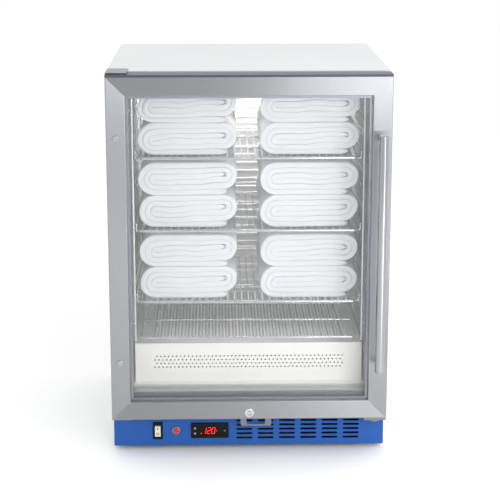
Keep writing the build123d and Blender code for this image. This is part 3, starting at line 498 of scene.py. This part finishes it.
class CABINET_OT_stage(CabinetOperator):
    """Set up the camera, the pale floor and the soft studio light"""

    bl_idname = "cabinet.stage"
    bl_label = "Stage"

    def execute(self, context):
        scene = context.scene
        scene.view_settings.view_transform = "Standard"
        camera_data = bpy.data.cameras.new("studio_camera")
        camera_data.sensor_width = 36.0
        camera_data.lens = CAMERA_LENS
        camera_data.shift_y = CAMERA_SHIFT
        camera_data.clip_end = CAMERA_FAR
        camera = bpy.data.objects.new("studio_camera", camera_data)
        camera.location = CAMERA_PLACE
        camera.rotation_euler = (math.pi / 2 - CAMERA_DIP, 0.0, CAMERA_TURN)
        scene.collection.objects.link(camera)
        scene.camera = camera

        floor_material, tree, surface = new_material("studio_floor", "#FDFDFD", 0.0, 0.8)
        grain = noise(tree, scaled_coords(tree, (1, 1, 1)), 3.0, 2.0)
        tree.links.new(mapped(tree, grain, 0.75, 0.85), surface.inputs["Roughness"])
        reach = FLOOR_REACH
        corners = [(-reach, -reach, 0), (reach, -reach, 0), (reach, reach, 0), (-reach, reach, 0)]
        mesh = bpy.data.meshes.new("studio_floor")
        mesh.from_pydata(corners, [], [(0, 1, 2, 3)])
        floor = bpy.data.objects.new("studio_floor", mesh)
        mesh.materials.append(floor_material)
        scene.collection.objects.link(floor)

        self.make_world(scene)
        # A softbox high on the right, a white card in front that the door mirrors from the right,
        # an upright strip for the handle, a weak fill on the left, and the cabinet's own lamp. The two
        # glows stand inside the cabinet for no real lamp: they lift its rear wall and its heater cover.
        self.add_light("key_softbox", (1.0, -1.25, 1.75), (0.1, -0.26, 0.6), (0.9, 0.9), 7.0)
        self.add_light("front_card", (1.35, -3.0, 1.1), (1.2, 0.0, 1.05), (2.2, 1.5), 52.0)
        self.add_light("strip_softbox", (0.75, -1.1, 0.5), (0.28, -0.3, 0.5), (0.12, 0.95), 1.8)
        self.add_light("fill_softbox", (-2.4, -1.9, 1.4), (0.0, -0.2, 0.5), (1.2, 1.2), 5.0)
        lens_low, lens_high = (Vector(corner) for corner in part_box("lamp_lens"))
        lamp = (lens_low + lens_high) / 2
        lamp.z = lens_low.z - 0.002
        self.add_light("cabinet_lamp", lamp, lamp + Vector((0, 0.25, -0.6)), (0.18, 0.04), 0.12)
        self.add_light("rear_wall_glow", (0, 0.19, 0.8), (0, 0.262, 0.6), (0.42, 0.05), 1.1)
        self.add_light("heater_glow", (0, -0.1, 0.325), (0, -0.15, 0.24), (0.4, 0.15), 0.12)
        return {"FINISHED"}

    def make_world(self, scene):
        """Soft white surroundings, dim in front of the cabinet and bright behind it and above."""
        world = bpy.data.worlds.new("studio_world")
        scene.world = world
        world.use_nodes = True
        tree = world.node_tree
        direction = add_node(tree, "ShaderNodeTexCoord").outputs["Generated"]
        slope = add_node(
            tree, "ShaderNodeVectorMath", {0: direction, 1: (0.05, 0.9, 0.35)}, operation="DOT_PRODUCT"
        )
        strength = add_node(
            tree,
            "ShaderNodeMapRange",
            {
                "Value": slope.outputs["Value"],
                "From Min": -0.9,
                "From Max": 0.35,
                "To Min": 0.28,
                "To Max": 1.2,
            },
        )
        background = tree.nodes["Background"]
        background.inputs["Color"].default_value = (1.0, 1.0, 1.0, 1.0)
        tree.links.new(strength.outputs["Result"], background.inputs["Strength"])

    def add_light(self, name, place, target, size, power):
        """A rectangular softbox at a place, aimed at a target."""
        data = bpy.data.lights.new(name, "AREA")
        data.shape = "RECTANGLE"
        data.size, data.size_y = size
        data.energy = power
        light = bpy.data.objects.new(name, data)
        light.visible_camera = False
        light.location = place
        aim = Vector(target) - Vector(place)
        light.rotation_euler = aim.to_track_quat("-Z", "Y").to_euler()
        bpy.context.scene.collection.objects.link(light)


class CABINET_OT_casing(CabinetOperator):
    """Finish the outer casing, its rear, its feet and the slabs in its walls"""

    bl_idname = "cabinet.casing"
    bl_label = "Casing"

    def execute(self, context):
        dress(enamel("white_powder_coat", self.colours.white), "top_panel", "side_panels")
        dress(zinc_plate(), "back_panel", "base_pan", "body_screws")
        feet = [f"foot_{end}_{side}" for end in ("front", "rear") for side in ("left", "right")]
        dress(zinc_plate(), *feet)
        dress(black_nylon(), "cord_bushing")
        dress(glass_wool("glass_wool"), "insulation")
        return {"FINISHED"}


class CABINET_OT_liner(CabinetOperator):
    """Finish the liner and the lamp in its ceiling"""

    bl_idname = "cabinet.liner"
    bl_label = "Liner"

    def execute(self, context):
        colour = self.colours.liner
        # Real stainless is fully metallic. Less of it keeps the level sheets from going dark.
        level = brushed_steel("liner_stainless_level", colour, "X", 0.5, 0.04, 0.0, 0.8)
        dress(level, "liner_back", "liner_top", "liner_floor")
        dress(brushed_steel("liner_stainless_side", colour, "Y", 0.42, 0.06), "liner_sides")
        dress(glowing("lamp_diffuser", "#FFF6E4", 3.0), "lamp_lens")
        dress(zinc_plate(), "lamp_housing", "temperature_probe")
        return {"FINISHED"}


class CABINET_OT_heater(CabinetOperator):
    """Finish the perforated cover and the heater and fan below it"""

    bl_idname = "cabinet.heater"
    bl_label = "Heater"

    def execute(self, context):
        cover = perforated_steel("perforated_stainless_painted_shade", self.colours.liner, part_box("heater_cover"))
        dress(cover, "heater_cover")
        dress(brushed_steel("oxidised_heater_sheath", "#6B5F57", "X", 0.5), "heating_element")
        dress(zinc_plate(), "fan_motor", "fan_blade")
        return {"FINISHED"}


class CABINET_OT_wirework(CabinetOperator):
    """Finish the shelves, their supports, the side racks and the floor grille"""

    bl_idname = "cabinet.wirework"
    bl_label = "Shelves and Racks"

    def execute(self, context):
        dress(chromed_wire("chromed_wire"), "floor_grille", "side_racks", "shelf_supports",
              "shelf_top", "shelf_middle", "shelf_lower")
        return {"FINISHED"}


class CABINET_OT_door(CabinetOperator):
    """Finish the door, its glazing, its handle, its lock and its hinges"""

    bl_idname = "cabinet.door"
    bl_label = "Door"

    def execute(self, context):
        steel = self.colours.steel
        upright = brushed_steel("stainless_brushed_upright", steel, "Z", 0.36, 0.06, 0.95)
        level = brushed_steel("stainless_brushed_level", steel, "X", 0.36, 0.06, 0.95)
        folded = brushed_steel("folded_stainless", "#9B9EA4", "X", 0.4, 0.05)
        dress(upright, "door_stile_hinge", "door_stile_handle")
        dress(level, "door_rail_top", "door_rail_bottom", "hinge_plates")
        dress(folded, "door_inner_frame")
        dull = brushed_steel("dull_stainless", "#82858A", "X", 0.4, 0.05)
        dress(dull, "lock_catch", "spare_hinge_bracket")
        polished = brushed_steel("stainless_polished_bar", "#A3A5A8", "Z", 0.14, 0.04)
        dress(polished, "handle_bar", "handle_posts")
        dress(brushed_steel("plug_steel", "#A9ABAE", "X", 0.4, 0.03), "door_plugs")
        dress(brushed_steel("plated_nickel", "#CDCFD2", "X", 0.25, 0.03), "lock_housing", "lock_plug")
        dress(brushed_steel("anodised_aluminium", "#8D9099", "Z", 0.45, 0.04), "glass_spacer")
        dress(moulded("slate_moulded_cap", "#4A5161", 0.4), "door_top_cap")
        dress(clear_glass("clear_float_glass"), "glass_panes")
        dress(extruded_rubber("seal_rubber"), "door_gasket")
        return {"FINISHED"}


class CABINET_OT_towels(CabinetOperator):
    """Fold the towels and stack them on the shelves"""

    bl_idname = "cabinet.towels"
    bl_label = "Towels"

    def execute(self, context):
        cotton = terry("bleached_cotton_terry", self.colours.cotton)
        for shelf_index, shelf in enumerate(("lower", "middle", "top")):
            node = f"towels_{shelf}"
            low, high = (np.array(corner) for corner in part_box(node))
            gap = 0.05
            width, height = (high[0] - low[0] - gap) / 2, (high[2] - low[2]) / 2
            for column in range(2):
                for row in range(2):
                    corner = low + (column * (width + gap), 0, row * height)
                    size = np.array([width, high[1] - low[1], height - 0.0004])
                    points, faces, line = folded_towel(
                        corner,
                        corner + size,
                        self.sizes.towel_layers,
                        self.sizes.towel_setback,
                        self.sizes.towel_wobble,
                        shelf_index * 4 + column * 2 + row,
                    )
                    name = f"towel_{shelf}_{'left' if column == 0 else 'right'}_{'upper' if row else 'under'}"
                    towel = mesh_piece(name, points, faces, cotton, f"{shelf}_shelf")
                    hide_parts(node)
        return {"FINISHED"}


class CABINET_OT_controls(CabinetOperator):
    """Finish the kick panel and its controls, light the display and mark the switch and the keys"""

    bl_idname = "cabinet.controls"
    bl_label = "Controls"

    def execute(self, context):
        dress(enamel("blue_powder_coat", self.colours.blue, 0.4), "kick_panel")
        dress(black_nylon(), "switch_bezel", "controller_case")
        dress(moulded("grey_key_rubber", "#26282C", 0.55), "key_up", "key_down", "key_set")
        dress(moulded("ivory_abs", "#E9E4D2", 0.3), "switch_rocker")
        dress(moulded("smoked_red_acrylic", "#14090A", 0.12), "controller_window")
        dress(brushed_steel("chromed_bezel", "#8C8F95", "X", 0.25, 0.03), "pilot_lamp_bezel")
        dress(glowing("red_pilot_lens", "#C81412", 0.25, 0.15), "pilot_lamp_lens")
        self.mark_rocker()
        self.mark_keys()
        self.light_digits()
        return {"FINISHED"}

    def light_digits(self):
        """The slanted seven-segment digits and their two dots."""
        low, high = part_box("controller_window")
        lit = glowing("lit_segments", self.colours.glow, 1.3)
        y_front, y_back = low[1] - 0.00025, low[1] + 0.0001
        height = self.sizes.digit_height
        width, stroke = height * 0.47, height * 0.095
        lean = math.tan(self.sizes.digit_slant)
        middle_x, middle_z = (low[0] + high[0]) / 2 - 0.002, (low[2] + high[2]) / 2
        shapes = []
        for index, digit in enumerate("120"):
            base_x = middle_x + (index - 1) * width * 1.5
            for segment in {"1": "bc", "2": "abged", "0": "abcdef"}[digit]:
                shapes.append(self.segment(segment, width, height, stroke) + (base_x, middle_z))
        dot, angle = 1.1 * MM, np.linspace(0, 2 * math.pi, 13)[:-1]
        low_dot = (middle_x - width * 2.5, middle_z - height * 0.45)
        middle_dot = (middle_x + width * 2.5, middle_z)
        for dot_x, dot_z in (low_dot, middle_dot):
            shapes.append(np.c_[dot_x + dot * np.cos(angle), dot_z + dot * np.sin(angle)])
        leaned = [np.c_[shape[:, 0] + (shape[:, 1] - middle_z) * lean, shape[:, 1]] for shape in shapes]
        self.join("display_digits", leaned, y_front, y_back, lit, "root", "red_lens")

    def mark_keys(self):
        """An arrow on each of the two left keys, and a dash on the right one."""
        mark = moulded("grey_screen_print", "#AEB3B8", 0.6)
        arrow = np.array([(-0.0028, -0.002), (0.0028, -0.002), (0, 0.0027)])
        dash = np.array([(-0.0018, -0.0005), (0.0018, -0.0005), (0.0018, 0.0005), (-0.0018, 0.0005)])
        for key, outline in (("up", arrow), ("down", -arrow), ("set", dash)):
            low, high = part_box(f"key_{key}")
            place = ((low[0] + high[0]) / 2, (low[2] + high[2]) / 2)
            self.join(f"key_{key}_mark", [outline + place], low[1] - 0.0002, low[1] + 0.0001, mark,
                      f"{key}_key", "ivory_plastic")

    def mark_rocker(self):
        """The bar and the ring on the switch's rocker, as plain marks."""
        low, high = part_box("switch_rocker")
        x, z = (low[0] + high[0]) / 2, (low[2] + high[2]) / 2
        ink = moulded("black_screen_print", "#161617", 0.6)
        bar = np.array([(-0.0009, -0.003), (0.0009, -0.003), (0.0009, 0.003), (-0.0009, 0.003)])
        angle = np.linspace(0, 2 * math.pi, 25)
        outer = 0.0032 * np.c_[np.cos(angle), np.sin(angle)]
        ring = np.concatenate([outer, outer[::-1] * 0.62])
        for name, outline, rise in (("bar", bar, 0.0062), ("ring", ring, -0.0062)):
            outline = outline + (x, z + rise)
            face = face_depth("switch_rocker", outline)
            self.join(
                f"rocker_{name}", [outline], face - 0.0001, face + 0.0002, ink, "rocker", "black_plastic"
            )

    def segment(self, letter, width, height, stroke):
        """One bar of a seven-segment digit with pointed ends, about the digit's middle."""
        half_w, half_h, gap = width / 2, height / 2, stroke * 0.12
        ends = {
            "a": ((-half_w, half_h), (half_w, half_h)),
            "g": ((-half_w, 0), (half_w, 0)),
            "d": ((-half_w, -half_h), (half_w, -half_h)),
            "f": ((-half_w, 0), (-half_w, half_h)),
            "b": ((half_w, 0), (half_w, half_h)),
            "e": ((-half_w, -half_h), (-half_w, 0)),
            "c": ((half_w, -half_h), (half_w, 0)),
        }[letter]
        start, end = (np.array(point, float) for point in ends)
        along = (end - start) / np.linalg.norm(end - start)
        across = np.array([-along[1], along[0]]) * stroke / 2
        start, end = start + along * gap, end - along * gap
        tip = along * stroke / 2
        upper = (start + tip + across, end - tip + across)
        lower = (end - tip - across, start + tip - across)
        return np.array([start, *upper, end, *lower])

    def join(self, name, outlines, y_front, y_back, material, body, slot):
        """Flat outlines made into one thin piece."""
        points, faces, base = [], [], 0
        for outline in outlines:
            more, quads = prism(outline, y_front, y_back)
            points.append(more)
            faces += [[index + base for index in face] for face in quads]
            base += len(more)
        mesh_piece(name, np.concatenate(points), faces, material, body, smooth=False)


class CABINET_PT_sidebar(bpy.types.Panel):
    """The cabinet's settings and pieces"""

    bl_idname = "CABINET_PT_sidebar"
    bl_label = "Hot Towel Cabinet"
    bl_space_type = "VIEW_3D"
    bl_region_type = "UI"
    bl_category = "Towel Cabinet"

    def draw(self, context):
        layout = self.layout
        for group in (context.scene.cabinet_sizes, context.scene.cabinet_colours):
            for name in group.__annotations__:
                layout.prop(group, name)
        for operator in OPERATORS:
            layout.operator(operator.bl_idname)


OPERATORS = (
    CABINET_OT_stage,
    CABINET_OT_casing,
    CABINET_OT_liner,
    CABINET_OT_heater,
    CABINET_OT_wirework,
    CABINET_OT_door,
    CABINET_OT_controls,
    CABINET_OT_towels,
)
CLASSES = (CabinetSizes, CabinetColours, *OPERATORS, CABINET_PT_sidebar)


def register():
    for cls in CLASSES:
        bpy.utils.register_class(cls)
    bpy.types.Scene.cabinet_sizes = bpy.props.PointerProperty(type=CabinetSizes)
    bpy.types.Scene.cabinet_colours = bpy.props.PointerProperty(type=CabinetColours)


def unregister():
    del bpy.types.Scene.cabinet_colours
    del bpy.types.Scene.cabinet_sizes
    for cls in reversed(CLASSES):
        bpy.utils.unregister_class(cls)


def main():
    register()
    bpy.ops.cabinet.stage()
    bpy.ops.cabinet.casing()
    bpy.ops.cabinet.liner()
    bpy.ops.cabinet.heater()
    bpy.ops.cabinet.wirework()
    bpy.ops.cabinet.door()
    bpy.ops.cabinet.controls()
    bpy.ops.cabinet.towels()


if __name__ == "__main__":
    main()
